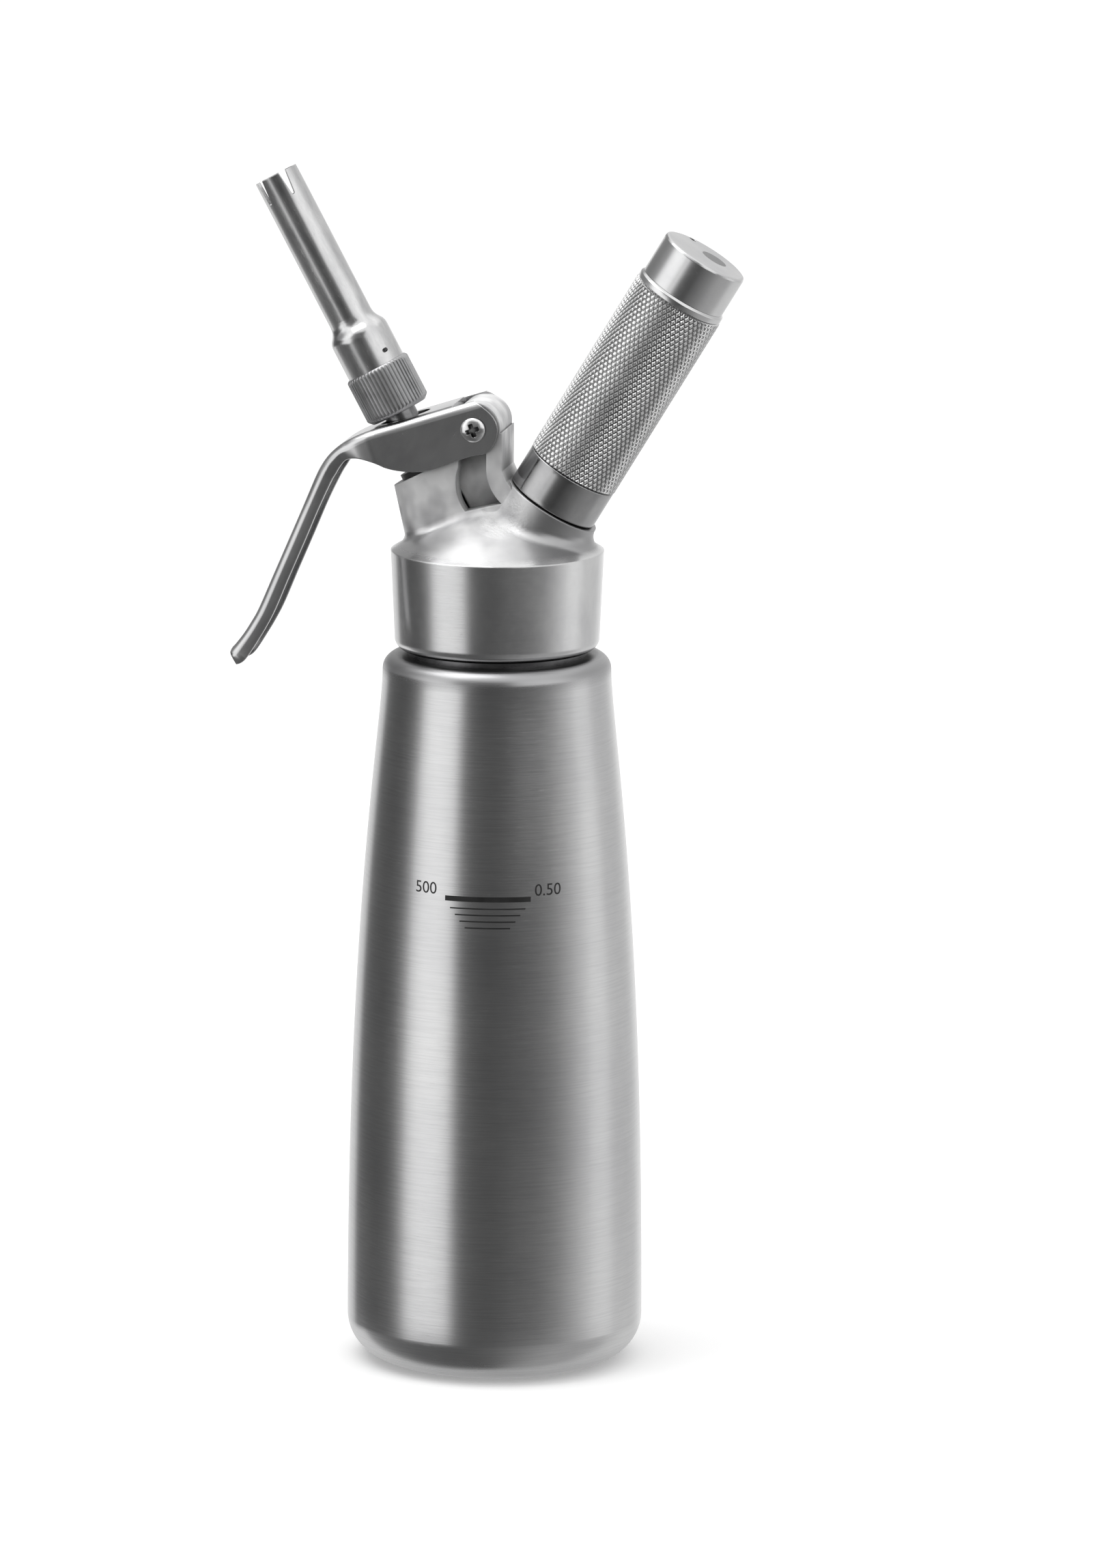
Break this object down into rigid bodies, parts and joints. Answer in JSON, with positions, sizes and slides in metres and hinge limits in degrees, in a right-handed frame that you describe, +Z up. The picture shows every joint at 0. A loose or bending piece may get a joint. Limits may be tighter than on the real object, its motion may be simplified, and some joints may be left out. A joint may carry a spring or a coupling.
{
  "type": "cream whipper",
  "caption": "Tapered steel bottle with a screw-on cast head, squeeze lever, sprung dosing valve with slotted nozzle, and knurled gas charger holder.",
  "frame": {"origin": "centre of the flat base, on the bottle axis", "axes": "+Z up along the bottle, nozzle and lever towards -X, charger holder towards +X"},
  "size_m": [0.1349, 0.078, 0.3159],
  "materials": {
    "bottle_steel": "brushed round the axis",
    "neck_steel": "turned",
    "head_metal": "satin, polished",
    "lever_steel": "dark satin",
    "polished_steel": "polished",
    "nut_steel": "polished, ribbed",
    "knurled_aluminium": "diamond knurl",
    "cap_satin": "satin",
    "gland_plastic": "matt black",
    "seal_rubber": "matt black",
    "gasket_rubber": "matt grey",
    "spring_steel": "drawn wire",
    "brass_insert": "turned",
    "charger_steel": "zinc plated"
  },
  "bodies": {
    "bottle": {"bottle_shell": "bottle_steel", "neck_ring": "neck_steel"},
    "gasket": {"head_gasket": "gasket_rubber"},
    "head": {"head_body": "head_metal", "valve_gland": "gland_plastic", "stem_o_ring": "seal_rubber", "valve_spring": "spring_steel", "pivot_sleeve": "polished_steel", "pivot_screw": "polished_steel", "pivot_nut": "polished_steel", "pin_holder": "brass_insert", "piercing_pin": "spring_steel", "charger_gasket": "seal_rubber", "gas_check_valve": "seal_rubber"},
    "lever": {"lever": "lever_steel"},
    "valve": {"valve_stem": "polished_steel", "stem_collar": "polished_steel", "valve_foot": "polished_steel", "valve_seal": "seal_rubber"},
    "nozzle_washer": {"nozzle_seal": "seal_rubber"},
    "nozzle": {"nozzle_nut": "nut_steel", "nozzle_tip": "polished_steel"},
    "charger": {"gas_charger": "charger_steel"},
    "holder": {"holder_barrel": "neck_steel", "holder_ring": "polished_steel", "holder_grip": "knurled_aluminium", "holder_trim_ring": "polished_steel", "holder_end_cap": "polished_steel", "holder_cap_inlay": "cap_satin", "holder_pad": "gasket_rubber"}
  },
  "joints": [
    {"name": "head_lift", "type": "slide", "parent": "bottle", "child": "gasket", "axis": [0, 0, 1], "range_m": [0, 0.02]},
    {"name": "head_turn", "type": "hinge", "parent": "gasket", "child": "head", "pos_m": [0, 0, 0.21], "axis": [0, 0, 1], "range_deg": [0, 1808]},
    {"name": "lever_squeeze", "type": "hinge", "parent": "head", "child": "lever", "pos_m": [-0.0046, 0, 0.249], "axis": [0, -1, 0], "range_deg": [0, 9.55]},
    {"name": "valve_press", "type": "slide", "parent": "head", "child": "valve", "axis": [0.4726, 0, -0.8813], "range_m": [0, 0.00226], "stiffness_N_per_m": 3000, "springref_m": -0.003, "deforming": ["valve_spring"]},
    {"name": "nozzle_lift", "type": "slide", "parent": "valve", "child": "nozzle_washer", "axis": [-0.4726, 0, 0.8813], "range_m": [0, 0.006]},
    {"name": "nozzle_turn", "type": "hinge", "parent": "nozzle_washer", "child": "nozzle", "pos_m": [-0.03258, 0, 0.26354], "axis": [-0.4726, 0, 0.8813], "range_deg": [0, 1448]},
    {"name": "charger_lift", "type": "slide", "parent": "head", "child": "charger", "axis": [0.518, 0, 0.8554], "range_m": [0, 0.01]},
    {"name": "holder_turn", "type": "hinge", "parent": "charger", "child": "holder", "pos_m": [0.0148, 0, 0.2293], "axis": [0.518, 0, 0.8554], "range_deg": [0, 1808]}
  ],
  "couplings": [
    {"joint": "head_turn", "follows": "head_lift", "rad_per_m": 1570.8},
    {"joint": "lever_squeeze", "follows": "valve_press", "rad_per_m": 73.529},
    {"joint": "nozzle_turn", "follows": "nozzle_lift", "rad_per_m": 4188.8},
    {"joint": "holder_turn", "follows": "charger_lift", "rad_per_m": 3141.6}
  ]
}
